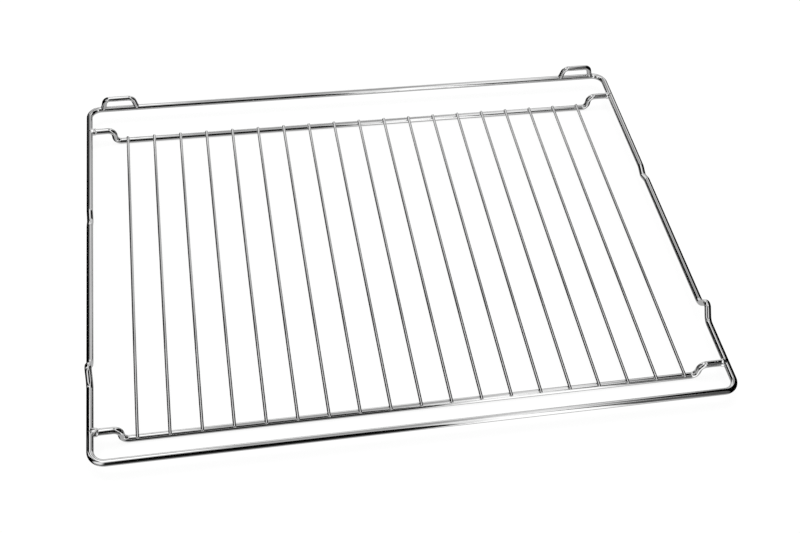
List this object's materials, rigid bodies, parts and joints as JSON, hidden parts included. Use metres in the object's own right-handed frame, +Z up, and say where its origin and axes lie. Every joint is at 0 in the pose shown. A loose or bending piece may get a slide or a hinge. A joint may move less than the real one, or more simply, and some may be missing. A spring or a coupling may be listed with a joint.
{
  "type": "oven shelf rack",
  "caption": "Rectangular wire oven shelf: bent outer frame with side stops, dropped carriers holding a grid of parallel bars, and low loops on the back rail.",
  "frame": {"origin": "under the middle of the outer frame, level with the undersides of the two carriers on which the rack stands", "axes": "+X across the oven to the right as seen from its door, +Y from the front rail to the back rail, +Z up"},
  "size_m": [0.465, 0.36, 0.0276],
  "materials": {
    "chrome_plated_wire": "bright chrome plating on round steel wire"
  },
  "bodies": {
    "root": {"outer_frame": "chrome_plated_wire", "front_carrier": "chrome_plated_wire", "back_carrier": "chrome_plated_wire", "grid_bar_01": "chrome_plated_wire", "grid_bar_02": "chrome_plated_wire", "grid_bar_03": "chrome_plated_wire", "grid_bar_04": "chrome_plated_wire", "grid_bar_05": "chrome_plated_wire", "grid_bar_06": "chrome_plated_wire", "grid_bar_07": "chrome_plated_wire", "grid_bar_08": "chrome_plated_wire", "grid_bar_09": "chrome_plated_wire", "grid_bar_10": "chrome_plated_wire", "grid_bar_11": "chrome_plated_wire", "grid_bar_12": "chrome_plated_wire", "grid_bar_13": "chrome_plated_wire", "grid_bar_14": "chrome_plated_wire", "grid_bar_15": "chrome_plated_wire", "grid_bar_16": "chrome_plated_wire", "grid_bar_17": "chrome_plated_wire", "grid_bar_18": "chrome_plated_wire", "grid_bar_19": "chrome_plated_wire", "left_rear_loop": "chrome_plated_wire", "right_rear_loop": "chrome_plated_wire"}
  },
  "joints": []
}
